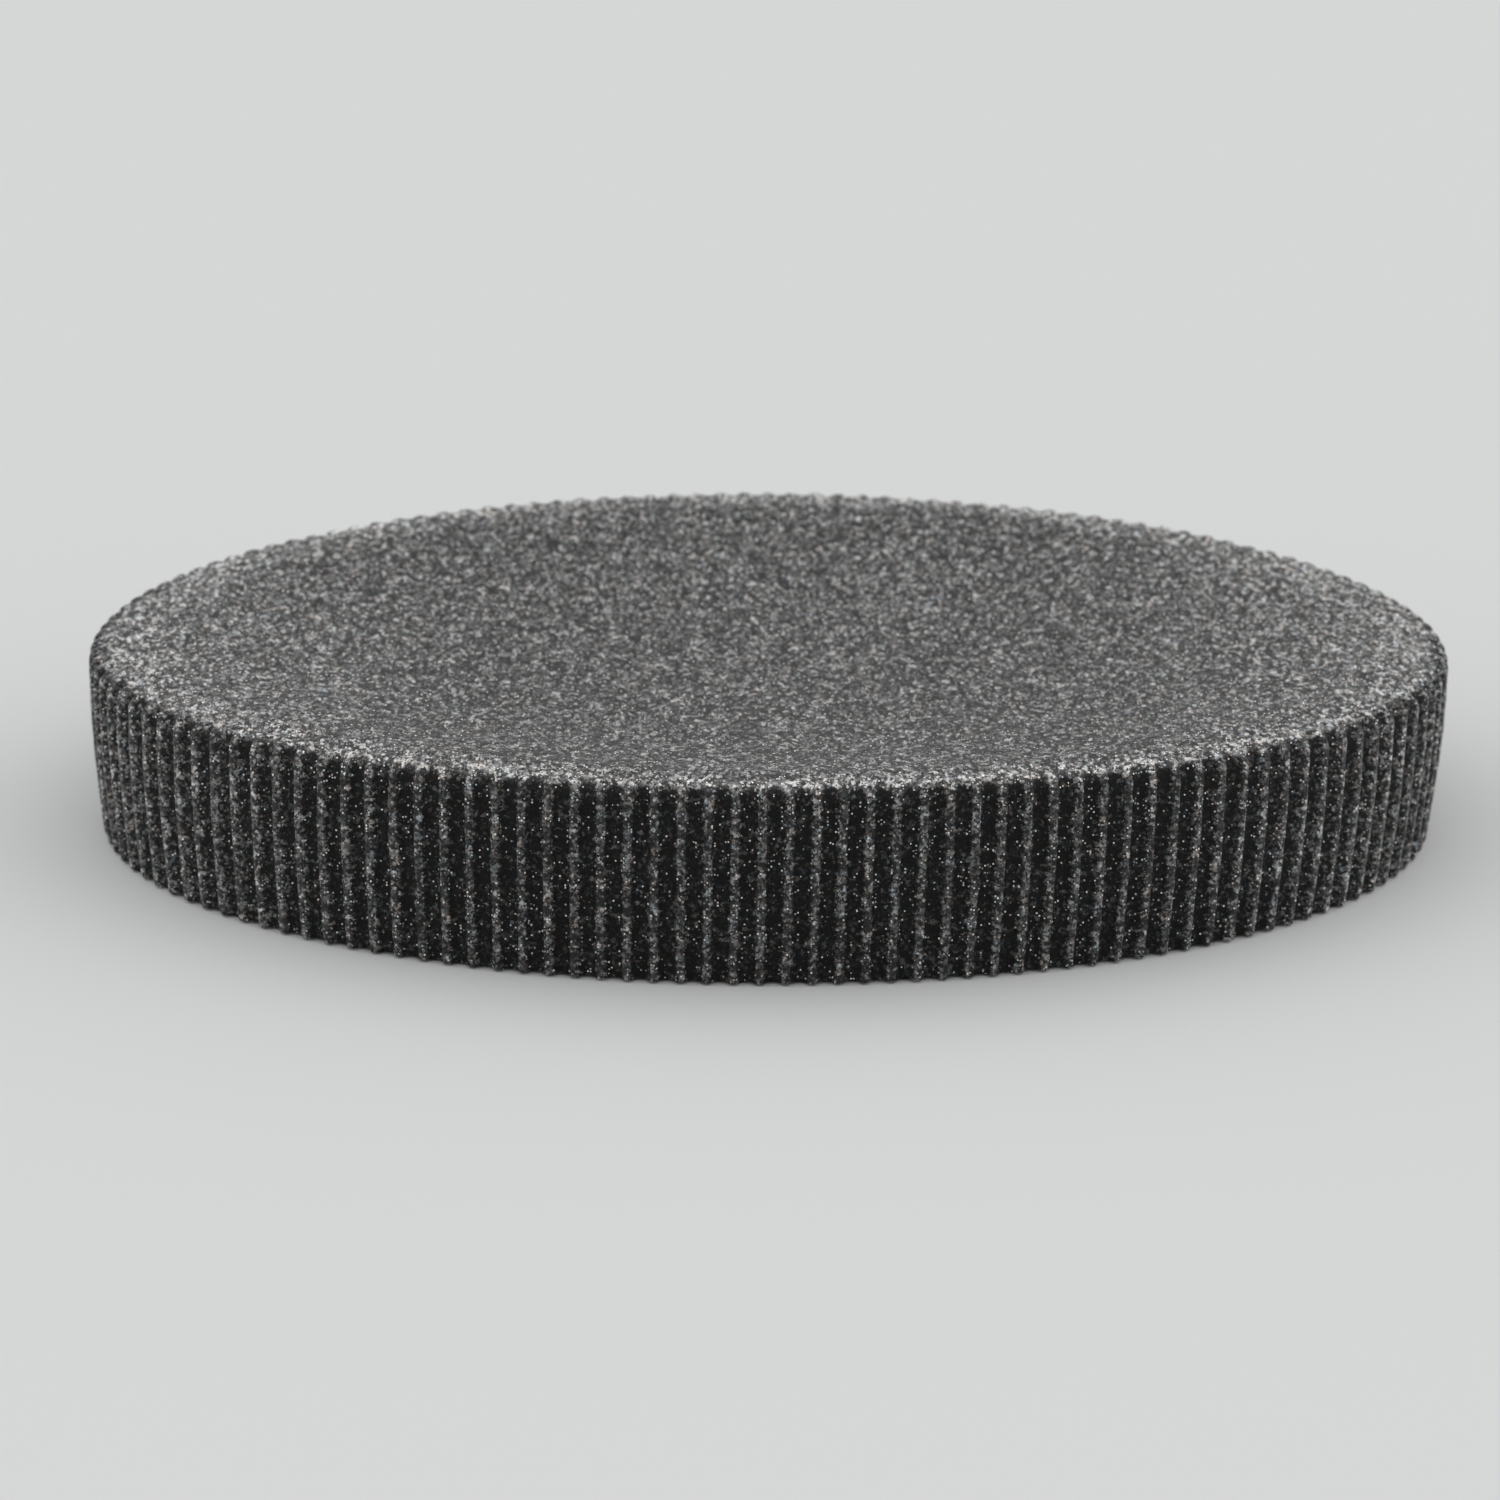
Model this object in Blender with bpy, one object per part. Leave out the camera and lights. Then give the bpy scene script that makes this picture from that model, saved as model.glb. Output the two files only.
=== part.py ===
"""Oval soap dish with a ribbed wall, cast in speckled stone resin, standing on four foam pads.

Metres, +Z up. The origin is on the resting plane under the middle of the dish. X runs along the
long side and -Y is the front.

The casting is one loft of closed rings. They run from the foot, up the ribbed wall, over the
rounded lip and down into the bowl, where the last ring is filled. A recess is cut in the
underside, and the pads sit in it.
"""

import math

import bmesh
import bpy
import numpy as np

MM = 0.001

# Outline and height
HALF_LENGTH = 70.0 * MM
HALF_WIDTH = 44.55 * MM
RIM_HEIGHT = 20.61 * MM
RIM_SADDLE = 0.55 * MM  # the rim is higher by this on the long sides, and lower by it at the ends
FOOT_CLEARANCE = 0.2 * MM  # the pads hold the foot this far off the resting plane

# Wall
FOOT_INSET = 1.15 * MM  # how far the wall has curved inwards where it meets the foot
WIDEST_HEIGHT = 15.5 * MM  # the wall curves inwards below this height and is upright above it
WALL_CURVE_POWER = 1.6
WALL_HEIGHTS = (FOOT_CLEARANCE, 5.0 * MM, 10.5 * MM)

# Ribs
RIB_COUNT = 139
RIB_PHASE = 0.695  # pitches from the middle of the front to the first rib on its +X side
GROOVE_DEPTH = 0.75 * MM
# Points across one rib, as a place in pitches from the rib's middle and a share of groove depth
RIB_SECTION = ((-0.15, 0.0), (0.15, 0.0), (0.34, 1.0), (0.66, 1.0))

# Lip: a quarter of an ellipse in section, from the wall's top to the rim's flat top
LIP_REACH = 1.8 * MM
LIP_DROP = 1.4 * MM
SHOULDER_ANGLE = math.radians(45)
SHOULDER_GROOVE_SHARE = 0.7

# Bowl: an oval dip inside the rim's flat top
RIM_WIDTH_SIDES = 4.6 * MM
RIM_WIDTH_ENDS = 7.4 * MM
BOWL_DEPTH = 4.2 * MM
BOWL_POWER = 1.1  # 1 would make its sections parabolas, and more is flatter in the middle
BOWL_EDGE_SOFTNESS = 0.3 * MM
# Size of each ring as a share of the bowl's edge, and the points on it
BOWL_RINGS = ((0.98, 139), (0.93, 139), (0.84, 139), (0.7, 70), (0.48, 48), (0.24, 24))

# Underside
FOOT_RING_WIDTH = 6.0 * MM
RECESS_CEILING = 1.3 * MM
RECESS_DRAFT = 0.4 * MM
RECESS_SEGMENTS = 96
CUTTER_OVERSHOOT = 1.0 * MM

# Foam pads
PAD_RADIUS = 6.0 * MM
PAD_THICKNESS = 1.0 * MM
PAD_EDGE = 0.15 * MM
PAD_X = 36.0 * MM
PAD_Y = 18.0 * MM
PAD_SEGMENTS = 40

FRONT_ANGLE = -math.pi / 2


def clear_scene():
    for existing in list(bpy.data.objects):
        bpy.data.objects.remove(existing, do_unlink=True)


def make_collection(name, helper=False):
    collection = bpy.data.collections.new(name)
    collection.hide_render = helper
    bpy.context.scene.collection.children.link(collection)
    return collection


def make_material(name, colour, roughness, metallic=0.0):
    material = bpy.data.materials.new(name)
    material.use_nodes = True
    shader = material.node_tree.nodes["Principled BSDF"]
    shader.inputs["Base Color"].default_value = (*colour, 1.0)
    shader.inputs["Roughness"].default_value = roughness
    shader.inputs["Metallic"].default_value = metallic
    material.diffuse_color = (*colour, 1.0)
    return material


def add_object(name, bm, collection, material=None):
    mesh = bpy.data.meshes.new(name)
    bm.to_mesh(mesh)
    bm.free()
    made = bpy.data.objects.new(name, mesh)
    collection.objects.link(made)
    if material:
        mesh.materials.append(material)
    return made


def angles_at(pitches):
    """Angles on the outline at these distances round it, in rib pitches from the front's middle."""
    samples = np.linspace(FRONT_ANGLE, FRONT_ANGLE + 2 * math.pi, 7201)
    steps = np.hypot(
        np.diff(HALF_LENGTH * np.cos(samples)), np.diff(HALF_WIDTH * np.sin(samples))
    )
    travelled = np.concatenate([[0.0], np.cumsum(steps)])
    wanted = (np.asarray(pitches) / RIB_COUNT % 1.0) * travelled[-1]
    return np.interp(wanted, travelled, samples)


def rim_height(x, y):
    return RIM_HEIGHT + RIM_SADDLE * ((y / HALF_WIDTH) ** 2 - (x / HALF_LENGTH) ** 2)


def inset_point(angle, inset):
    """The point this far inside the outline, measured along the outline's normal."""
    across = math.cos(angle) / HALF_LENGTH
    along = math.sin(angle) / HALF_WIDTH
    size = math.hypot(across, along)
    x = HALF_LENGTH * math.cos(angle) - inset * across / size
    y = HALF_WIDTH * math.sin(angle) - inset * along / size
    return x, y


def wall_inset(height):
    below = max(WIDEST_HEIGHT - height, 0.0) / WIDEST_HEIGHT
    return FOOT_INSET * below**WALL_CURVE_POWER


def ribbed_ring(inset, height_under_rim=None, height=None, groove_share=1.0):
    """Points of one ring of the wall, at a fixed height or at a distance under the rim."""
    pitches = []
    depths = []
    for rib in range(RIB_COUNT):
        for place, depth in RIB_SECTION:
            pitches.append(RIB_PHASE + rib + place)
            depths.append(depth * GROOVE_DEPTH * groove_share)
    points = []
    for angle, depth in zip(angles_at(pitches), depths):
        x, y = inset_point(angle, inset + depth)
        z = height if height is not None else rim_height(x, y) - height_under_rim
        points.append((x, y, z))
    return points


def lip_ring():
    """Points of the plain ring where the lip meets the rim's flat top."""
    points = []
    for angle in angles_at(RIB_PHASE + np.arange(RIB_COUNT)):
        x, y = inset_point(angle, LIP_REACH)
        points.append((x, y, rim_height(x, y)))
    return points


def bowl_ring(share, count):
    """Points of one oval ring of the bowl, this share of the size of the bowl's edge."""
    depth = BOWL_DEPTH * (1.0 - share ** (2.0 * BOWL_POWER))
    eased_depth = math.hypot(depth, BOWL_EDGE_SOFTNESS) - BOWL_EDGE_SOFTNESS
    points = []
    for angle in angles_at(RIB_PHASE + np.arange(count) * RIB_COUNT / count):
        x = share * (HALF_LENGTH - RIM_WIDTH_ENDS) * math.cos(angle)
        y = share * (HALF_WIDTH - RIM_WIDTH_SIDES) * math.sin(angle)
        points.append((x, y, rim_height(x, y) - eased_depth))
    return points


def dish_rings():
    """Every ring of the casting, from the foot over the lip to the middle of the bowl."""
    rings = [ribbed_ring(wall_inset(z), height=z) for z in WALL_HEIGHTS]
    rings.append(ribbed_ring(0.0, height_under_rim=LIP_DROP))
    shoulder_inset = LIP_REACH * (1.0 - math.cos(SHOULDER_ANGLE))
    shoulder_drop = LIP_DROP * (1.0 - math.sin(SHOULDER_ANGLE))
    rings.append(
        ribbed_ring(
            shoulder_inset,
            height_under_rim=shoulder_drop,
            groove_share=SHOULDER_GROOVE_SHARE,
        )
    )
    rings.append(lip_ring())
    rings.extend(bowl_ring(share, count) for share, count in BOWL_RINGS)
    return rings


def loft(bm, rings):
    """Bridges the rings in order, then fills the first and the last."""
    loops = []
    for points in rings:
        verts = [bm.verts.new(point) for point in points]
        following = verts[1:] + verts[:1]
        loops.append([bm.edges.new(pair) for pair in zip(verts, following)])
    for lower, upper in zip(loops, loops[1:]):
        bmesh.ops.bridge_loops(bm, edges=lower + upper)
    for end in (loops[0], loops[-1]):
        bmesh.ops.edgeloop_fill(bm, edges=end)
    bmesh.ops.recalc_face_normals(bm, faces=bm.faces)


def make_recess_cutter(collection):
    """A low oval plug with drafted sides, from under the foot to the recess's ceiling."""
    bottom = FOOT_CLEARANCE - CUTTER_OVERSHOOT
    height = RECESS_CEILING - bottom
    bm = bmesh.new()
    bmesh.ops.create_cone(
        bm,
        cap_ends=True,
        segments=RECESS_SEGMENTS,
        radius1=1.0,
        radius2=1.0 - RECESS_DRAFT / HALF_WIDTH,
        depth=height,
    )
    reach = FOOT_INSET + FOOT_RING_WIDTH
    size = (HALF_LENGTH - reach, HALF_WIDTH - reach, 1.0)
    bmesh.ops.scale(bm, vec=size, verts=bm.verts)
    cutter = add_object("underside_recess_cutter", bm, collection)
    cutter.location.z = bottom + height / 2
    cutter.hide_render = True
    cutter.display_type = "WIRE"
    return cutter


def make_dish_body(collection, cutter, material, parent):
    bm = bmesh.new()
    loft(bm, dish_rings())
    dish = add_object("dish_body", bm, collection, material)
    dish.parent = parent
    recess = dish.modifiers.new("underside_recess", "BOOLEAN")
    recess.operation = "DIFFERENCE"
    recess.solver = "EXACT"
    recess.object = cutter
    dish.data.shade_smooth()
    dish.data.set_sharp_from_angle(angle=math.radians(35))


def make_pad_mesh(material):
    bm = bmesh.new()
    bmesh.ops.create_cone(
        bm,
        cap_ends=True,
        segments=PAD_SEGMENTS,
        radius1=PAD_RADIUS,
        radius2=PAD_RADIUS,
        depth=PAD_THICKNESS,
    )
    rims = [edge for edge in bm.edges if abs(edge.verts[0].co.z - edge.verts[1].co.z) < PAD_EDGE]
    bmesh.ops.bevel(bm, geom=rims, offset=PAD_EDGE, segments=1, affect="EDGES")
    mesh = bpy.data.meshes.new("foot_pad")
    bm.to_mesh(mesh)
    bm.free()
    mesh.materials.append(material)
    mesh.shade_smooth()
    mesh.set_sharp_from_angle(angle=math.radians(35))
    return mesh


def make_foot_pads(collection, material, parent):
    mesh = make_pad_mesh(material)
    for row, y in (("front", -PAD_Y), ("rear", PAD_Y)):
        for side, x in (("left", -PAD_X), ("right", PAD_X)):
            pad = bpy.data.objects.new(f"foot_pad_{row}_{side}", mesh)
            pad.location = (x, y, PAD_THICKNESS / 2)
            pad.parent = parent
            collection.objects.link(pad)


def main():
    clear_scene()
    parts = make_collection("ribbed_oval_dish")
    cutters = make_collection("cutters", helper=True)
    stone = make_material("speckled_stone_resin", (0.085, 0.086, 0.09), 0.62)
    foam = make_material("pad_foam", (0.018, 0.018, 0.019), 0.9)
    frame = bpy.data.objects.new("dish_frame", None)
    parts.objects.link(frame)
    make_dish_body(parts, make_recess_cutter(cutters), stone, frame)
    make_foot_pads(parts, foam, frame)


main()
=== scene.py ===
"""Looks of the oval ribbed dish: the casting in fine mesh with its speckled stone, the foam pads
under it, and a plain studio round them. Metres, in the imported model's frame.
"""

import math

import bmesh
import bpy
import numpy as np
from mathutils import Matrix, Vector


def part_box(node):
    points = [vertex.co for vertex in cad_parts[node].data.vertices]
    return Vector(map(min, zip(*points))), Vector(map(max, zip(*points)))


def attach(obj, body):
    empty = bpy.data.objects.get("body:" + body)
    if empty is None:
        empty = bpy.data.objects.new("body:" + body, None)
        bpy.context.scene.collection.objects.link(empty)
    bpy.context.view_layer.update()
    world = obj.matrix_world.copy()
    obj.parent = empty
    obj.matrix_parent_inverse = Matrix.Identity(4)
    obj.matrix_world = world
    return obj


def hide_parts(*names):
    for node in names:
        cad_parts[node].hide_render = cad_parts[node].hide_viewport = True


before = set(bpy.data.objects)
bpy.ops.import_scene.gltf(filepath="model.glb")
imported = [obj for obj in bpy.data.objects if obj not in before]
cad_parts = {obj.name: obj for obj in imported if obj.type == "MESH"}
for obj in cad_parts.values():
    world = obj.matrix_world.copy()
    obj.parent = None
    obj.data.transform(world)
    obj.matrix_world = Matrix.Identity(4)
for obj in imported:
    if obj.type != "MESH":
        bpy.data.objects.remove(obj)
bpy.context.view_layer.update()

MM = 0.001

# The casting's box gives the outline and the height
BODY_LOW, BODY_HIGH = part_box("dish_body")
HALF_LENGTH = round((BODY_HIGH.x - BODY_LOW.x) / 2, 4)
HALF_WIDTH = round((BODY_HIGH.y - BODY_LOW.y) / 2, 5)
FOOT_HEIGHT = BODY_LOW.z
FRONT_ANGLE = -math.pi / 2
OUTLINE_SAMPLES = 14401

# Rim
RIM_SADDLE = 0.55 * MM  # the rim is higher by this on the long sides, and lower by it at the ends
RIM_HEIGHT = BODY_HIGH.z - RIM_SADDLE

# Wall
FOOT_INSET = 1.15 * MM
FOOT_ROUNDING = 0.3 * MM
WIDEST_HEIGHT = 15.5 * MM
WALL_CURVE_POWER = 1.6
WALL_LEVELS = 26
WALL_LEVEL_POWER = 0.9  # the levels lie a little closer together towards the top

# Ribs, across one pitch
RIB_COUNT = 139
RIB_PHASE = 0.695  # pitches from the middle of the front to the first rib on its +X side
GROOVE_DEPTH = 0.75 * MM
CROWN_DEPTH = 0.05 * MM
CREST_HALF_WIDTH = 0.12
SCOOP_POWER = 2.8  # higher makes a groove's floor flatter and its flanks steeper
RIB_PLACES = (-0.37, -0.26, -0.18, -0.12, -0.06, 0.0, 0.06, 0.12, 0.18, 0.26, 0.37, 0.5)

# Lip
LIP_REACH = 1.8 * MM
LIP_DROP = 1.4 * MM
LIP_LEVELS = 10
LIP_FADE = 1.6 * MM  # the grooves run out over this much of the lip's top
LIP_FADE_SHARES = (0.35, 0.7, 1.0)
# Between these turns of the lip, a groove grows from as dark as on the wall to as light as the rim
LIP_DARK_TURN = math.radians(30)
LIP_OPEN_TURN = math.radians(85)

# Bowl
BOWL_HALF_LENGTH = HALF_LENGTH - 7.4 * MM
BOWL_HALF_WIDTH = HALF_WIDTH - 4.6 * MM
BOWL_DEPTH = 4.2 * MM
BOWL_POWER = 1.1  # 1 would make every section a parabola, and more is flatter in the middle
BOWL_EDGE_SOFTNESS = 0.3 * MM
COLUMNS_JOINED = 3  # fine columns of the wall that meet one column of the bowl
EDGE_END = 7.0 * MM  # rings follow the outline down to this inset, and shrink as ovals inside it
EDGE_LEVELS = 9
BOWL_LEVELS = 42
BOWL_LEVEL_POWER = 0.8

# Exposure: 0 in the bottom of a groove and 1 in the middle of the bowl. Less of it shows more of
# the dark resin, which in the grooves is partly painted shade, and paints shade onto the wall. More
# than 1 shows more light grit and paints light onto the rim, the lip and both ends
CREST_EXPOSURE = 0.85  # on a rib's crest
RIM_GRIT_AND_PAINTED_LIGHT = 0.8  # added on the rim: light grit and painted light
LIP_GRIT_AND_PAINTED_LIGHT = 0.45  # on the lip's top, along the long sides: light grit and painted light
ENDS_GRIT_AND_PAINTED_LIGHT = 0.45  # on the top towards both ends: light grit and painted light
RIM_LESS_AT_ENDS = 0.45  # share of the rim's light grit and painted light that is gone at both ends
WALL_ENDS_PAINTED_LIGHT = 0.22  # added on the wall towards both ends: painted light, as if from the sides
GROOVE_SHADE_LESS_AT_ENDS = 0.2  # groove darkness gone at both ends: painted light from the sides
ENDS_START = 0.42  # in half lengths from the middle
ENDS_SPREAD = 0.5
RIM_START = 0.9  # in bowl_reach
RIM_SPREAD = 0.2

# Underside
FOOT_LEVELS = 4
FOOT_RING_WIDTH = 6.0 * MM
RIBS_END = GROOVE_DEPTH * 1.6  # the foot's ring is plain from this far inside its edge
RECESS_DEPTH = 1.1 * MM
RECESS_DRAFT = 0.4 * MM
RECESS_ROUNDING = 0.35 * MM
CEILING_SHARES = (0.85, 0.6, 0.3)

# Unevenness that a mould and the grit leave in the surface: height, width and seed of each wave
SURFACE_WAVES = ((0.05 * MM, 9.0 * MM, 3), (0.035 * MM, 1.7 * MM, 5), (0.03 * MM, 0.55 * MM, 8))
WAVES_START = 0.6 * MM  # they grow to full height over this much above the foot

# Foam pads
PAD_FLAT_SHARE = 0.955  # of the pad's radius
PAD_BULGE_SHARE = 1.008  # how far the cut edge bulges out under the dish's weight
PAD_FILM_SHARE = 0.95
PAD_FACE_RINGS = (0.0, 0.3, 0.6, 0.85)  # of the pad's radius
PAD_EDGE_LEVELS = 11
PAD_FILM_START = 1.04  # of the pad's thickness
PAD_STEPS = 96
PAD_WAVE = (0.05 * MM, 2.2 * MM, 13)
PAD_WAVE_START = 0.25 * MM
PAD_WELD = 0.001 * MM


# ---------------------------------------------------------------- casting


def smooth_step(share):
    share = np.clip(share, 0.0, 1.0)
    return share * share * (3.0 - 2.0 * share)


# Large odd numbers that scatter the corners of the noise's lattice
CORNER_FACTORS = (73856093, 19349663, 83492791)
SEED_FACTOR = 9176263
SCATTER_FACTOR = 1274126177


def lattice_noise(points, cell, seed):
    """Smooth noise from -1 to 1 with one random value at each corner of a cubic lattice."""
    scaled = points / cell
    base = np.floor(scaled).astype(np.int64)
    part = smooth_step(scaled - base)
    total = np.zeros(len(points))
    for corner in np.ndindex(2, 2, 2):
        place = base + np.array(corner)
        mixed = place @ np.array(CORNER_FACTORS) + seed * SEED_FACTOR
        mixed = (mixed ^ (mixed >> 13)) * SCATTER_FACTOR & 0x7FFFFFFF
        mixed = (mixed ^ (mixed >> 16)) & 0xFFFF
        weight = np.prod(np.where(corner, part, 1.0 - part), axis=1)
        total += weight * (mixed / 32767.5 - 1.0)
    return total


def angles_at(pitches):
    """Angles on the outline at these distances round it, in rib pitches from the front's middle."""
    samples = np.linspace(FRONT_ANGLE, FRONT_ANGLE + 2 * math.pi, OUTLINE_SAMPLES)
    steps = np.hypot(np.diff(HALF_LENGTH * np.cos(samples)), np.diff(HALF_WIDTH * np.sin(samples)))
    travelled = np.concatenate([[0.0], np.cumsum(steps)])
    turns = np.floor(pitches / RIB_COUNT)
    wanted = (pitches / RIB_COUNT - turns) * travelled[-1]
    return np.interp(wanted, travelled, samples)


def groove_depth(place):
    """Depth under the rib's crest line, at a place in pitches from the crest."""
    from_crest = np.abs(place)
    crown = CROWN_DEPTH * np.minimum(from_crest / CREST_HALF_WIDTH, 1.0) ** 2
    share = np.clip((from_crest - CREST_HALF_WIDTH) / (0.5 - CREST_HALF_WIDTH), 0.0, 1.0)
    scoop = 1.0 - (1.0 - share) ** SCOOP_POWER
    return crown + (GROOVE_DEPTH - CROWN_DEPTH) * scoop


def inset_points(angles, insets):
    """Points this far inside the outline, measured along its normal."""
    across = np.cos(angles) / HALF_LENGTH
    along = np.sin(angles) / HALF_WIDTH
    size = np.hypot(across, along)
    x = HALF_LENGTH * np.cos(angles) - insets * across / size
    y = HALF_WIDTH * np.sin(angles) - insets * along / size
    return x, y


def rim_height(x, y):
    return RIM_HEIGHT + RIM_SADDLE * ((y / HALF_WIDTH) ** 2 - (x / HALF_LENGTH) ** 2)


def wall_inset(height):
    below = np.maximum(WIDEST_HEIGHT - height, 0.0) / WIDEST_HEIGHT
    return FOOT_INSET * below**WALL_CURVE_POWER


def bowl_reach(x, y):
    """0 in the middle of the bowl and 1 at its edge, growing with the square of the distance."""
    return (x / BOWL_HALF_LENGTH) ** 2 + (y / BOWL_HALF_WIDTH) ** 2


def top_height(x, y):
    """Height of the rim's flat top and of the bowl, with a soft edge between them."""
    depth = BOWL_DEPTH * (1.0 - np.minimum(bowl_reach(x, y), 1.0) ** BOWL_POWER)
    eased = np.hypot(depth, BOWL_EDGE_SOFTNESS) - BOWL_EDGE_SOFTNESS
    return rim_height(x, y) - eased


def towards_ends(x):
    """0 over the middle of the dish and 1 near both ends."""
    return smooth_step((np.abs(x) / HALF_LENGTH - ENDS_START) / ENDS_SPREAD)


def top_exposure(x, y):
    """1 in the middle of the bowl, and more on the rim and towards both ends, where it adds light
    grit and painted light.
    """
    ends = towards_ends(x)
    rim = smooth_step((bowl_reach(x, y) - RIM_START) / RIM_SPREAD) * (1.0 - RIM_LESS_AT_ENDS * ends)
    return 1.0 + RIM_GRIT_AND_PAINTED_LIGHT * rim + ENDS_GRIT_AND_PAINTED_LIGHT * ends


class RingMesh:
    """Closed rings of points joined in order. Each point also has its exposure."""

    def __init__(self):
        self.points = []
        self.exposure = []
        self.faces = []
        self.count = 0
        self.last = None

    def add_ring(self, x, y, z, exposure):
        size = len(x)
        ring = self.count + np.arange(size)
        self.points.append(np.column_stack([x, y, np.broadcast_to(z, size)]))
        self.exposure.append(np.broadcast_to(exposure, size))
        self.count += size
        if self.last is not None:
            self.join(self.last, ring)
        self.last = ring

    def join(self, old, new):
        """Faces between two rings. The ring with more points has a whole number for each one."""
        if len(old) == len(new):
            faces = np.column_stack([old, np.roll(old, -1), np.roll(new, -1), new])
            self.faces.extend(faces.tolist())
            return
        fine, coarse = (old, new) if len(old) > len(new) else (new, old)
        each = len(fine) // len(coarse)
        for index in range(len(coarse)):
            run = [int(fine[(index * each + step) % len(fine)]) for step in range(each + 1)]
            face = run + [int(coarse[(index + 1) % len(coarse)]), int(coarse[index])]
            self.faces.append(face if fine is old else face[::-1])

    def fill(self):
        """Closes the last ring with a fan round its middle."""
        ring = self.last
        corners = np.concatenate(self.points)[ring]
        self.points.append(corners.mean(axis=0)[None])
        self.exposure.append(np.ones(1))
        middle = self.count
        self.count += 1
        for start, end in zip(ring, np.roll(ring, -1)):
            self.faces.append([int(start), int(end), middle])
        self.last = None


def build_upper(rings, angles, depths, exposure):
    """The wall from the foot up, the lip and the bowl."""
    foot = FOOT_HEIGHT + FOOT_ROUNDING
    for share in np.linspace(0.0, 1.0, WALL_LEVELS) ** WALL_LEVEL_POWER:
        x, y = inset_points(angles, depths)
        top = rim_height(x, y) - LIP_DROP
        z = foot + (top - foot) * share
        x, y = inset_points(angles, wall_inset(z) + depths)
        rings.add_ring(x, y, z, exposure)
    for turn in np.linspace(0.0, math.pi / 2, LIP_LEVELS)[1:]:
        inset = LIP_REACH * (1.0 - math.cos(turn))
        x, y = inset_points(angles, inset + depths)
        z = rim_height(x, y) - LIP_DROP * (1.0 - math.sin(turn))
        open_share = smooth_step((turn - LIP_DARK_TURN) / (LIP_OPEN_TURN - LIP_DARK_TURN))
        # The lip's top gets light grit and painted light along the long sides
        open_level = top_exposure(x, y) + LIP_GRIT_AND_PAINTED_LIGHT * (1.0 - towards_ends(x))
        rings.add_ring(x, y, z, exposure + (open_level - exposure) * open_share)
    for share in LIP_FADE_SHARES:
        left = 1.0 - smooth_step(share)
        x, y = inset_points(angles, LIP_REACH + LIP_FADE * share + depths * left)
        # That light grit and painted light fade out over the lip's top
        lip_grit_and_light = LIP_GRIT_AND_PAINTED_LIGHT * (1.0 - towards_ends(x)) * left
        rings.add_ring(x, y, top_height(x, y), top_exposure(x, y) + lip_grit_and_light)
    coarse = angles[::COLUMNS_JOINED]
    for inset in np.linspace(LIP_REACH + LIP_FADE, EDGE_END, EDGE_LEVELS)[1:]:
        edge_x, edge_y = inset_points(coarse, inset)
        rings.add_ring(edge_x, edge_y, top_height(edge_x, edge_y), top_exposure(edge_x, edge_y))
    for share in np.linspace(1.0, 0.0, BOWL_LEVELS + 1)[1:-1] ** BOWL_LEVEL_POWER:
        x = edge_x * share
        y = edge_y * share
        rings.add_ring(x, y, top_height(x, y), top_exposure(x, y))
    rings.fill()


def build_lower(rings, angles, depths, exposure):
    """The foot's rounded edge, its ring and the recess, going inwards under the dish."""
    start = FOOT_HEIGHT + FOOT_ROUNDING
    for turn in np.linspace(0.0, math.pi / 2, FOOT_LEVELS):
        inset = wall_inset(start) + FOOT_ROUNDING * (1.0 - math.cos(turn))
        x, y = inset_points(angles, inset + depths)
        rings.add_ring(x, y, start - FOOT_ROUNDING * math.sin(turn), exposure)
    x, y = inset_points(angles, wall_inset(start) + FOOT_ROUNDING + RIBS_END)
    rings.add_ring(x, y, FOOT_HEIGHT, 1.0)

    # The recess's side, with both corners rounded: inset, and share of the recess's depth
    edge = FOOT_INSET + FOOT_RING_WIDTH
    ceiling = edge + RECESS_DRAFT
    profile = (
        (edge - RECESS_ROUNDING, 0.0),
        (edge - 0.3 * RECESS_ROUNDING, 0.09),
        (edge, 0.3),
        (edge + RECESS_DRAFT * 0.6, 0.72),
        (ceiling, 0.92),
        (ceiling + RECESS_ROUNDING, 1.0),
    )
    coarse = angles[::COLUMNS_JOINED]
    for inset, rise in profile:
        x, y = inset_points(coarse, inset)
        rings.add_ring(x, y, FOOT_HEIGHT + RECESS_DEPTH * rise, 1.0)
    for share in CEILING_SHARES:
        rings.add_ring(x * share, y * share, FOOT_HEIGHT + RECESS_DEPTH, 1.0)
    rings.fill()


def weld_first_rings(mesh, ring_size, offset):
    """Joins the wall's first ring with the foot's first ring, which lie on each other. Returns
    which points stay, in their order.
    """
    bm = bmesh.new()
    bm.from_mesh(mesh)
    bm.verts.ensure_lookup_table()
    targets = {bm.verts[offset + i]: bm.verts[i] for i in range(ring_size)}
    bmesh.ops.weld_verts(bm, targetmap=targets)
    bm.to_mesh(mesh)
    bm.free()
    total = len(mesh.vertices) + ring_size
    return np.array([i for i in range(total) if not offset <= i < offset + ring_size])


def vertex_values(mesh, values, name):
    """One vector for each vertex, read from this collection of the mesh."""
    flat = np.empty(len(mesh.vertices) * 3, np.float32)
    values.foreach_get(name, flat)
    return flat.reshape(-1, 3).astype(float)


def add_unevenness(mesh):
    """Moves the vertices by small waves along their normals."""
    points = vertex_values(mesh, mesh.vertices, "co")
    normals = vertex_values(mesh, mesh.vertex_normals, "vector")
    height = sum(high * lattice_noise(points, wide, seed) for high, wide, seed in SURFACE_WAVES)
    height = height * smooth_step((points[:, 2] - FOOT_HEIGHT) / WAVES_START)
    moved = points + normals * height[:, None]
    mesh.vertices.foreach_set("co", moved.astype(np.float32).ravel())


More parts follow.
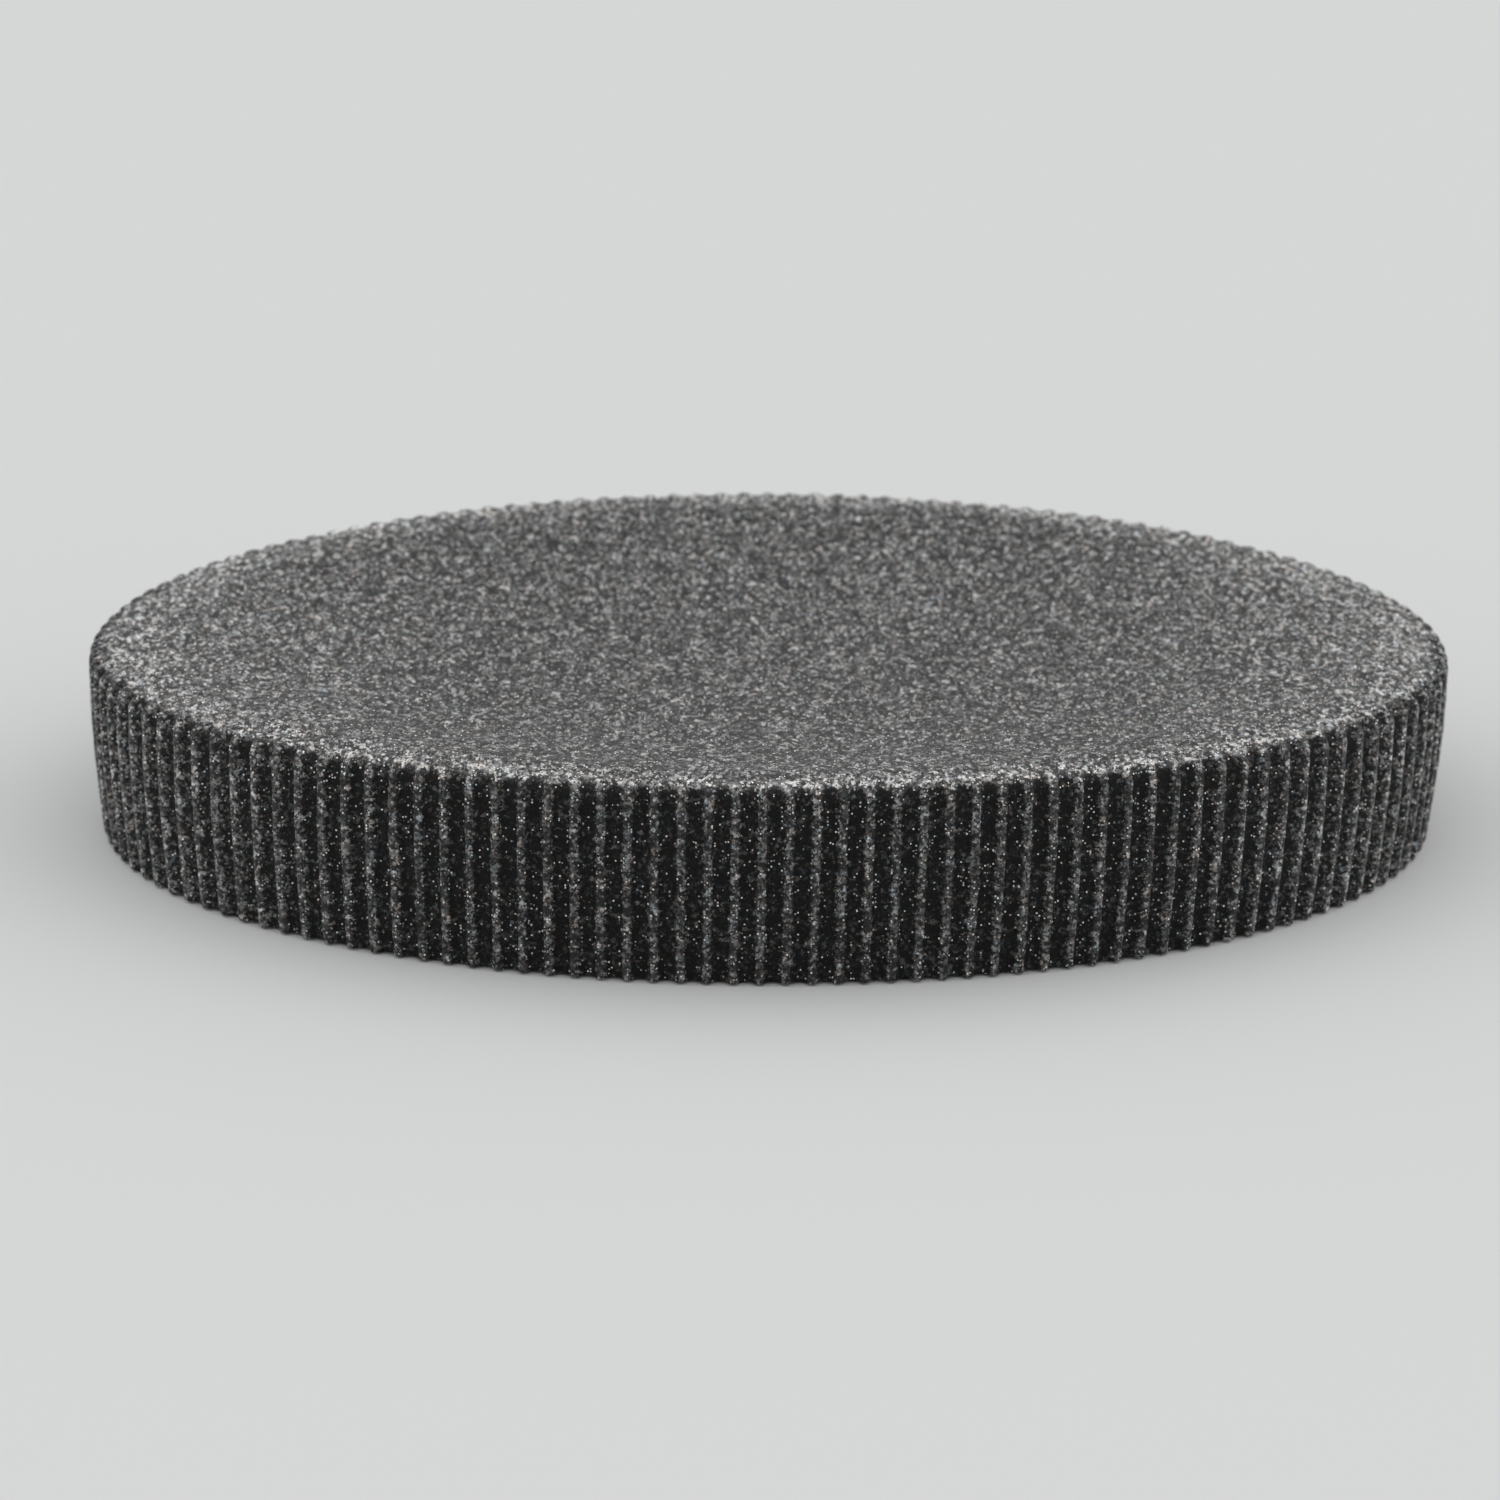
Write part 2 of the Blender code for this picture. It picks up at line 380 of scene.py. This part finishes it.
def make_dish(material):
    places = np.array(RIB_PLACES)
    pitches = (RIB_PHASE + np.arange(RIB_COUNT)[:, None] + places[None, :]).ravel()
    angles = angles_at(pitches)
    order = np.argsort(angles)
    angles = angles[order]
    depths = groove_depth(np.tile(places, RIB_COUNT))[order]
    ends = towards_ends(HALF_LENGTH * np.cos(angles))
    # Grooves are darker, partly from the dark resin that shows in them and partly from painted
    # shade
    in_groove = depths / GROOVE_DEPTH * (1.0 - GROOVE_SHADE_LESS_AT_ENDS * ends)
    # Towards both ends the wall gets painted light, as if lit from the sides
    exposure = CREST_EXPOSURE * (1.0 - in_groove) + WALL_ENDS_PAINTED_LIGHT * ends

    upper = RingMesh()
    build_upper(upper, angles, depths, exposure)
    lower = RingMesh()
    build_lower(lower, angles, depths, exposure)
    offset = upper.count
    points = np.concatenate(upper.points + lower.points)
    faces = upper.faces + [[corner + offset for corner in face][::-1] for face in lower.faces]

    mesh = bpy.data.meshes.new("dish_cast")
    mesh.from_pydata(points.tolist(), [], faces)
    kept = weld_first_rings(mesh, len(angles), offset)
    mesh.update()
    add_unevenness(mesh)
    exposed = np.concatenate(upper.exposure + lower.exposure)[kept]
    attribute = mesh.attributes.new("exposure", "FLOAT", "POINT")
    attribute.data.foreach_set("value", exposed.astype(np.float32))
    mesh.materials.append(material)
    mesh.shade_smooth()
    mesh.update()
    dish = bpy.data.objects.new("dish_cast", mesh)
    bpy.context.scene.collection.objects.link(dish)
    return dish


# ---------------------------------------------------------------- foam pads


def pad_profile(radius, thickness, film_top):
    """Half a section through a pad: (distance from its axis, height), from the middle of the
    resting face, over the cut edge and the adhesive film, to the middle of the film's top.
    """
    points = [(share * radius, 0.0) for share in PAD_FACE_RINGS]
    for turn in np.linspace(-math.pi / 2, math.pi / 2, PAD_EDGE_LEVELS):
        bulge = (PAD_BULGE_SHARE - PAD_FLAT_SHARE) * math.sqrt(max(math.cos(turn), 0.0))
        rise = 0.5 + 0.5 * math.sin(turn)
        points.append(((PAD_FLAT_SHARE + bulge) * radius, rise * thickness))
    film = PAD_FILM_SHARE * radius
    points += [(film, thickness * PAD_FILM_START), (film, film_top)]
    points += [(film / 2, film_top), (0.0, film_top)]
    return points


def sort_faces(bm):
    """Gives the faces a fixed order, that of their vertices. A spin leaves them in a chance one."""
    bm.verts.index_update()
    base = len(bm.verts)

    def face_number(face):
        indices = sorted(vert.index for vert in face.verts)
        return sum(index * base**power for power, index in enumerate(indices))

    bm.faces.sort(key=face_number)


def make_pad(node_name, material):
    """One die-cut foam pad with its adhesive film, in the place of the CAD's plain disc."""
    low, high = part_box(node_name)
    radius = (high.x - low.x) / 2
    thickness = high.z - low.z
    film_top = FOOT_HEIGHT + RECESS_DEPTH - low.z
    section = pad_profile(radius, thickness, film_top)
    bm = bmesh.new()
    profile = [bm.verts.new((across, 0.0, up)) for across, up in section]
    edges = [bm.edges.new(pair) for pair in zip(profile, profile[1:])]
    bmesh.ops.spin(
        bm,
        geom=profile + edges,
        axis=(0.0, 0.0, 1.0),
        cent=(0.0, 0.0, 0.0),
        angle=2 * math.pi,
        steps=PAD_STEPS,
    )
    bmesh.ops.remove_doubles(bm, verts=bm.verts, dist=PAD_WELD)
    bmesh.ops.recalc_face_normals(bm, faces=bm.faces)
    sort_faces(bm)
    middle = Vector(((low.x + high.x) / 2, (low.y + high.y) / 2, low.z))
    bmesh.ops.translate(bm, vec=middle, verts=bm.verts)
    bm.normal_update()

    points = np.array([vert.co for vert in bm.verts])
    above_rest = smooth_step((points[:, 2] - low.z) / PAD_WAVE_START)
    wave_height, wave_width, seed = PAD_WAVE
    swell = wave_height * lattice_noise(points, wave_width, seed) * above_rest
    for vert, amount in zip(bm.verts, swell):
        vert.co += vert.normal * float(amount)

    mesh = bpy.data.meshes.new(node_name + "_foam")
    bm.to_mesh(mesh)
    bm.free()
    mesh.materials.append(material)
    mesh.shade_smooth()
    pad = bpy.data.objects.new(node_name + "_foam", mesh)
    bpy.context.scene.collection.objects.link(pad)
    return pad


# ---------------------------------------------------------------- materials


class Nodes:
    """Short calls for building a material's node tree."""

    def __init__(self, tree):
        self.tree = tree

    def put(self, value, socket):
        if isinstance(value, bpy.types.NodeSocket):
            self.tree.links.new(value, socket)
        else:
            socket.default_value = value

    def math(self, operation, *values):
        node = self.tree.nodes.new("ShaderNodeMath")
        node.operation = operation
        for value, socket in zip(values, node.inputs):
            self.put(value, socket)
        return node.outputs[0]

    def multiply_add(self, value, factor, added):
        return self.math("MULTIPLY_ADD", value, factor, added)

    def mix(self, factor, first, second):
        node = self.tree.nodes.new("ShaderNodeMix")
        node.data_type = "RGBA"
        self.put(factor, node.inputs["Factor"])
        self.put(first, node.inputs["A"])
        self.put(second, node.inputs["B"])
        return node.outputs["Result"]

    def step(self, value, low, high, out_low=0.0, out_high=1.0):
        node = self.tree.nodes.new("ShaderNodeMapRange")
        node.interpolation_type = "SMOOTHSTEP"
        for name, given in (("Value", value), ("From Min", low), ("From Max", high)):
            self.put(given, node.inputs[name])
        self.put(out_low, node.inputs["To Min"])
        self.put(out_high, node.inputs["To Max"])
        return node.outputs["Result"]

    def ramp(self, factor, stops):
        node = self.tree.nodes.new("ShaderNodeValToRGB")
        elements = node.color_ramp.elements
        while len(elements) < len(stops):
            elements.new(1.0)
        for element, (place, colour) in zip(elements, stops):
            element.position = place
            element.color = (*colour, 1.0)
        self.put(factor, node.inputs["Fac"])
        return node.outputs["Color"]

    def voronoi(self, vector, cell):
        """(distance, random colour) of cells this wide."""
        node = self.tree.nodes.new("ShaderNodeTexVoronoi")
        node.inputs["Scale"].default_value = 1.0 / cell
        self.put(vector, node.inputs["Vector"])
        return node.outputs["Distance"], node.outputs["Color"]

    def noise(self, vector, cell, detail):
        node = self.tree.nodes.new("ShaderNodeTexNoise")
        node.inputs["Scale"].default_value = 1.0 / cell
        node.inputs["Detail"].default_value = detail
        node.inputs["Roughness"].default_value = 0.6
        self.put(vector, node.inputs["Vector"])
        return node.outputs["Fac"]

    def part(self, colour, channel):
        node = self.tree.nodes.new("ShaderNodeSeparateColor")
        self.put(colour, node.inputs["Color"])
        return node.outputs[channel]

    def vector_math(self, operation, first, second, socket=1):
        node = self.tree.nodes.new("ShaderNodeVectorMath")
        node.operation = operation
        self.put(first, node.inputs[0])
        self.put(second, node.inputs[socket])
        return node.outputs[0]

    def multiply(self, first, second):
        return self.vector_math("MULTIPLY", first, second)

    def scale(self, vector, amount):
        return self.vector_math("SCALE", vector, amount, socket="Scale")

    def offset(self, vector, amount):
        return self.vector_math("ADD", vector, amount)

    def bump(self, shader, height, strength, distance):
        node = self.tree.nodes.new("ShaderNodeBump")
        node.inputs["Strength"].default_value = strength
        node.inputs["Distance"].default_value = distance
        self.put(height, node.inputs["Height"])
        self.put(node.outputs["Normal"], shader.inputs["Normal"])


def new_material(name):
    material = bpy.data.materials.new(name)
    material.use_nodes = True
    nodes = Nodes(material.node_tree)
    shader = material.node_tree.nodes["Principled BSDF"]
    place = material.node_tree.nodes.new("ShaderNodeTexCoord").outputs["Object"]
    return material, nodes, shader, place


# Stone: the width of each pattern's cells
COARSE_GRAIN = 0.34 * MM
FINE_GRAIN = 0.23 * MM
FLECK = 0.26 * MM
MOTTLE = 0.22 * MM
RAGGEDNESS = 0.4 * MM
PATCH = 0.7 * MM
STAIN = 0.9 * MM
PIT = 0.9 * MM
CLOUD = 3.5 * MM

# Each layer's pattern is shifted by its own amount, so that no two of them line up
COARSE_SHIFT = (0.011, 0.003, 0.007)
FINE_SHIFT = (0.002, 0.013, 0.005)
FLECK_SHIFT = (0.007, 0.001, 0.017)
PIT_SHIFT = (0.02, 0.01, 0.03)

# A grain's grey against its random pick, from black resin to white grit
GRAIN_GREYS = (
    (0.0, 0.01),
    (0.3, 0.026),
    (0.46, 0.08),
    (0.6, 0.15),
    (0.75, 0.27),
    (0.9, 0.5),
    (1.0, 0.75),
)
GRAIN_TINTS = (
    (0.0, (1.0, 0.993, 0.972)),
    (0.76, (1.0, 0.993, 0.972)),
    (0.82, (1.14, 0.99, 0.9)),
    (0.89, (0.95, 1.02, 0.98)),
    (0.95, (0.93, 0.98, 1.08)),
)
COLD_STAIN = (0.9, 1.0, 1.06, 1.0)
WARM_STAIN = (1.1, 1.0, 0.94, 1.0)

PICK_SPREAD = 0.92
CLOSED_LOSS = 0.4  # how much lower a grain's pick is where openness is 0, as at a groove's bottom
RAGGED_HEIGHT = 0.9  # how far noise moves the border of what lies bare
BARE_GRIT = 0.4  # openness gained for each 1 of exposure over 1
FINE_SHARE = 0.5  # of the fine layer's cells that hold a grain
FLECK_SHARE = 0.09  # of the fleck layer's cells that hold a fleck, where openness is 0
FLECK_SHARE_OPEN = 0.035  # added for each 1 of openness
FLECK_GREYS = (0.4, 1.3)
WALL_GLINT = 1.25  # how much brighter flecks are on the wall
# The wall's colour is darker than the top's: partly its own tone, partly painted shade
WALL_TONE_AND_PAINTED_SHADE = 0.6
TOP_SHADE = 0.81
PAINTED_LIGHT_GAIN = 0.25  # painted light: brightness gained for each 1 of exposure over 1
TOP_STAIN = 0.4  # strength of the stains on the top, against 1 on the wall

# Between which distances from its middle a grain's cover fades out
GRAIN_EDGE = (0.55, 0.4)
FLECK_EDGE = (0.45, 0.3)
PIT_EDGE = (0.0, 0.22)

STONE_ROUGHNESS = 0.66
FLECK_SMOOTHER = 0.2
STONE_SPECULAR = (0.2, 0.38)  # in a groove, and where grit lies bare
STONE_SHEEN = (0.0, 0.14)
SHEEN_ROUGHNESS = 0.45
RELIEF_DEPTH = 0.1 * MM

SIGHT_SQUASH = 0.45  # share of the distance along the line of sight that the pattern keeps


def proud_place(nodes, place):
    """The place in the camera's frame, squashed along the line of sight.

    Grit that stands proud of a surface doesn't look flattened when the surface is seen at a slant.
    """
    turned = nodes.tree.nodes.new("ShaderNodeVectorTransform")
    turned.vector_type = "POINT"
    turned.convert_from = "OBJECT"
    turned.convert_to = "CAMERA"
    nodes.put(place, turned.inputs[0])
    return nodes.multiply(turned.outputs[0], (1.0, 1.0, SIGHT_SQUASH))


def grain_layer(nodes, place, cell, shift, patches, openness):
    """Grains of one size: (their colour, distance from a grain's middle, a random number).

    Where patches is high there are more light grains, and where openness is low there are fewer.
    """
    distance, random_colour = nodes.voronoi(nodes.offset(place, shift), cell)
    pick = nodes.multiply_add(nodes.part(random_colour, "Red"), PICK_SPREAD, patches)
    pick = nodes.math("ADD", pick, nodes.multiply_add(openness, CLOSED_LOSS, -CLOSED_LOSS))
    grey = nodes.ramp(pick, [(at, (level, level, level)) for at, level in GRAIN_GREYS])
    tint = nodes.ramp(nodes.part(random_colour, "Green"), GRAIN_TINTS)
    return nodes.multiply(grey, tint), distance, nodes.part(random_colour, "Blue")


def fleck_layer(nodes, place, openness, on_wall):
    """Bright flecks: (their colour, how much of them covers a place)."""
    distance, random_colour = nodes.voronoi(nodes.offset(place, FLECK_SHIFT), FLECK)
    limit = nodes.multiply_add(openness, FLECK_SHARE_OPEN, FLECK_SHARE)
    present = nodes.math("LESS_THAN", nodes.part(random_colour, "Red"), limit)
    cover = nodes.math("MULTIPLY", nodes.step(distance, *FLECK_EDGE), present)
    grey = nodes.step(nodes.part(random_colour, "Blue"), 0.0, 1.0, *FLECK_GREYS)
    tint = nodes.ramp(nodes.part(random_colour, "Green"), GRAIN_TINTS)
    glint = on_wall(WALL_GLINT, 1.0)
    return nodes.scale(tint, nodes.math("MULTIPLY", grey, glint)), cover


def stone_material():
    """Charcoal resin packed with black, grey and white grit in two sizes of grain, some of it
    tinted, and with bright flecks.

    Grooves show more of the dark resin and less of the grit than open surfaces do, and painted
    shade too. The wall's colour is darker than the top's, partly with painted shade, and the rim,
    the lip and both ends carry painted light.
    """
    material, nodes, shader, place = new_material("speckled_stone_resin")
    reader = material.node_tree.nodes.new("ShaderNodeAttribute")
    reader.attribute_name = "exposure"
    exposure = reader.outputs["Fac"]

    def on_wall(wall_value, top_value):
        """One value on the wall, turning into the other on the lip and the top."""
        return nodes.step(exposure, CREST_EXPOSURE, 1.0, wall_value, top_value)

    cloud = nodes.noise(place, CLOUD, 2.0)
    place = proud_place(nodes, place)
    ragged = nodes.math("SUBTRACT", nodes.noise(place, RAGGEDNESS, 2.0), 0.5)
    ragged_exposure = nodes.multiply_add(ragged, RAGGED_HEIGHT, exposure)
    # Exposure over 1: more light grit, and painted light further down
    grit_and_light = nodes.math("MAXIMUM", nodes.math("SUBTRACT", exposure, 1.0), 0.0)
    openness = nodes.step(ragged_exposure, 0.1, CREST_EXPOSURE)
    openness = nodes.multiply_add(grit_and_light, BARE_GRIT, openness)

    patches = nodes.step(nodes.noise(place, PATCH, 1.0), 0.3, 0.7, -0.2, 0.16)
    coarse, _, _ = grain_layer(nodes, place, COARSE_GRAIN, COARSE_SHIFT, patches, openness)
    fine, fine_distance, fine_pick = grain_layer(
        nodes, place, FINE_GRAIN, FINE_SHIFT, patches, openness
    )
    fine_present = nodes.math("LESS_THAN", fine_pick, FINE_SHARE)
    fine_cover = nodes.math("MULTIPLY", nodes.step(fine_distance, *GRAIN_EDGE), fine_present)
    fleck, fleck_cover = fleck_layer(nodes, place, openness, on_wall)
    colour = nodes.mix(fleck_cover, nodes.mix(fine_cover, coarse, fine), fleck)

    # A fine mottle, darker where the relief is lower
    mottle = nodes.noise(place, MOTTLE, 2.0)
    shade = nodes.multiply_add(cloud, 0.4, 0.8)
    shade = nodes.math("MULTIPLY", shade, nodes.multiply_add(mottle, 1.5, 0.25))
    # Painted shade: the wall darker than the top
    shade = nodes.math("MULTIPLY", shade, on_wall(WALL_TONE_AND_PAINTED_SHADE, TOP_SHADE))
    # Painted light on the rim, the lip and both ends, where exposure is over 1
    shade = nodes.math("MULTIPLY", shade, nodes.multiply_add(grit_and_light, PAINTED_LIGHT_GAIN, 1.0))
    stain = nodes.step(nodes.noise(place, STAIN, 2.0), 0.35, 0.65, -0.5, 0.5)
    warmth = nodes.multiply_add(stain, on_wall(1.0, TOP_STAIN), 0.5)
    colour = nodes.multiply(colour, nodes.mix(warmth, COLD_STAIN, WARM_STAIN))
    nodes.put(nodes.scale(colour, shade), shader.inputs["Base Color"])

    # Flecks are smoother than the rest, and what lies bare shines more than the resin in a groove
    roughness = nodes.multiply_add(fleck_cover, -FLECK_SMOOTHER, STONE_ROUGHNESS)
    specular = nodes.step(ragged_exposure, 0.2, 1.0, *STONE_SPECULAR)
    sheen = nodes.step(ragged_exposure, 0.6, 1.0, *STONE_SHEEN)
    nodes.put(roughness, shader.inputs["Roughness"])
    nodes.put(specular, shader.inputs["Specular IOR Level"])
    nodes.put(sheen, shader.inputs["Sheen Weight"])
    shader.inputs["Sheen Roughness"].default_value = SHEEN_ROUGHNESS

    pits = nodes.step(nodes.voronoi(nodes.offset(place, PIT_SHIFT), PIT)[0], *PIT_EDGE)
    relief = nodes.multiply_add(fine_cover, 0.5, mottle)
    relief = nodes.multiply_add(fleck_cover, 0.5, relief)
    relief = nodes.multiply_add(pits, 0.8, relief)
    nodes.bump(shader, relief, 0.9, RELIEF_DEPTH)
    return material


# Foam
FOAM_CELL = 0.28 * MM
FOAM_DUST = 1.4 * MM
FOAM_PORE = (0.006, 0.006, 0.006, 1.0)
FOAM_GREYS = ((0.3, (0.012, 0.012, 0.013)), (0.75, (0.035, 0.035, 0.036)))


def foam_material():
    """Black closed-cell foam: fine pores and a dusty sheen."""
    material, nodes, shader, place = new_material("pad_foam")
    dust = nodes.noise(place, FOAM_DUST, 4.0)
    pore = nodes.step(nodes.voronoi(place, FOAM_CELL)[0], 0.1, 0.4)
    colour = nodes.mix(pore, FOAM_PORE, nodes.ramp(dust, FOAM_GREYS))
    nodes.put(colour, shader.inputs["Base Color"])
    nodes.put(nodes.multiply_add(dust, 0.2, 0.75), shader.inputs["Roughness"])
    shader.inputs["Sheen Weight"].default_value = 0.2
    nodes.bump(shader, pore, 0.5, 0.06 * MM)
    return material


# ---------------------------------------------------------------- studio

FLOOR_SIZE = 8.0
FLOOR_COLOUR = (0.766, 0.773, 0.773, 1.0)

# Light from the sky: how strong each part is, and between which heights (as the sine of the angle
# from the level, or from the middle plane) it grows to that
LIGHT_ALL_ROUND = 0.34
OVERHEAD_LIGHT = 0.64
OVERHEAD_EDGE = (0.45, 0.95)
OVERHEAD_TILT = math.radians(-6)  # negative leans to the front
SIDE_LIGHT = 1.0
SIDE_EDGE = (0.4, 0.95)
BACKDROP_TONE = 0.67

CAMERA_DISTANCE = 0.642
CAMERA_ELEVATION = math.radians(22.13)
CAMERA_AZIMUTH = math.radians(3.73)  # from the front, towards -X
CAMERA_ROLL = math.radians(1.11)
LENS = 147.8
LENS_SHIFT = (-0.0122, 0.0466)
APERTURE = 35.0
FOCUS_SHARE = 0.07  # of the way from the middle of the dish to the camera


def make_floor():
    material, _, shader, _ = new_material("studio_paper")
    shader.inputs["Base Color"].default_value = FLOOR_COLOUR
    shader.inputs["Roughness"].default_value = 0.85
    shader.inputs["Specular IOR Level"].default_value = 0.2
    bpy.ops.mesh.primitive_plane_add(size=FLOOR_SIZE, location=(0.0, 0.0, 0.0))
    floor = bpy.context.object
    floor.name = "studio_floor"
    floor.data.materials.append(material)


def make_world():
    """Soft light from overhead and from both sides, and a little from all round."""
    world = bpy.data.worlds.new("soft_studio")
    bpy.context.scene.world = world
    world.use_nodes = True
    nodes = Nodes(world.node_tree)
    background = world.node_tree.nodes["Background"]
    direction = world.node_tree.nodes.new("ShaderNodeTexCoord").outputs["Generated"]
    split = world.node_tree.nodes.new("ShaderNodeSeparateXYZ")
    nodes.put(direction, split.inputs[0])
    x, y, z = split.outputs
    up = nodes.math("MULTIPLY", z, math.cos(OVERHEAD_TILT))
    tilted = nodes.multiply_add(y, math.sin(OVERHEAD_TILT), up)
    overhead = nodes.step(tilted, *OVERHEAD_EDGE)
    sides = nodes.step(nodes.math("ABSOLUTE", x), *SIDE_EDGE)
    strength = nodes.multiply_add(overhead, OVERHEAD_LIGHT, LIGHT_ALL_ROUND)
    strength = nodes.multiply_add(sides, SIDE_LIGHT, strength)
    # The camera sees a plain backdrop of the floor's tone beyond the floor
    seen = world.node_tree.nodes.new("ShaderNodeLightPath").outputs["Is Camera Ray"]
    to_backdrop = nodes.math("SUBTRACT", BACKDROP_TONE, strength)
    strength = nodes.multiply_add(seen, to_backdrop, strength)
    background.inputs["Color"].default_value = (1.0, 1.0, 1.0, 1.0)
    nodes.put(strength, background.inputs["Strength"])


def make_camera():
    """The camera looks down at the dish from the front, a little from its left."""
    level = CAMERA_DISTANCE * math.cos(CAMERA_ELEVATION)
    place = Vector(
        (
            -level * math.sin(CAMERA_AZIMUTH),
            -level * math.cos(CAMERA_AZIMUTH),
            CAMERA_DISTANCE * math.sin(CAMERA_ELEVATION),
        )
    )
    data = bpy.data.cameras.new("camera")
    data.lens = LENS
    data.sensor_width = 36.0
    data.shift_x, data.shift_y = LENS_SHIFT
    data.clip_start = 0.05
    camera = bpy.data.objects.new("camera", data)
    aim = (-place).to_track_quat("-Z", "Y").to_matrix().to_4x4()
    camera.matrix_world = Matrix.Translation(place) @ aim @ Matrix.Rotation(CAMERA_ROLL, 4, "Z")
    bpy.context.scene.collection.objects.link(camera)
    bpy.context.scene.camera = camera

    # The sharpest place lies between the middle of the dish and the camera, wherever it stands
    focus = bpy.data.objects.new("focus_point", None)
    bpy.context.scene.collection.objects.link(focus)
    follow = focus.constraints.new("COPY_LOCATION")
    follow.target = camera
    follow.influence = FOCUS_SHARE
    data.dof.use_dof = True
    data.dof.focus_object = focus
    data.dof.aperture_fstop = APERTURE


def main():
    bpy.context.scene.view_settings.view_transform = "Standard"
    dish = make_dish(stone_material())
    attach(dish, "root")
    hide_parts("dish_body")
    foam = foam_material()
    for name in list(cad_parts):
        if name.startswith("foot_pad"):
            pad = make_pad(name, foam)
            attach(pad, "root")
            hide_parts(name)
    make_floor()
    make_world()
    make_camera()


main()
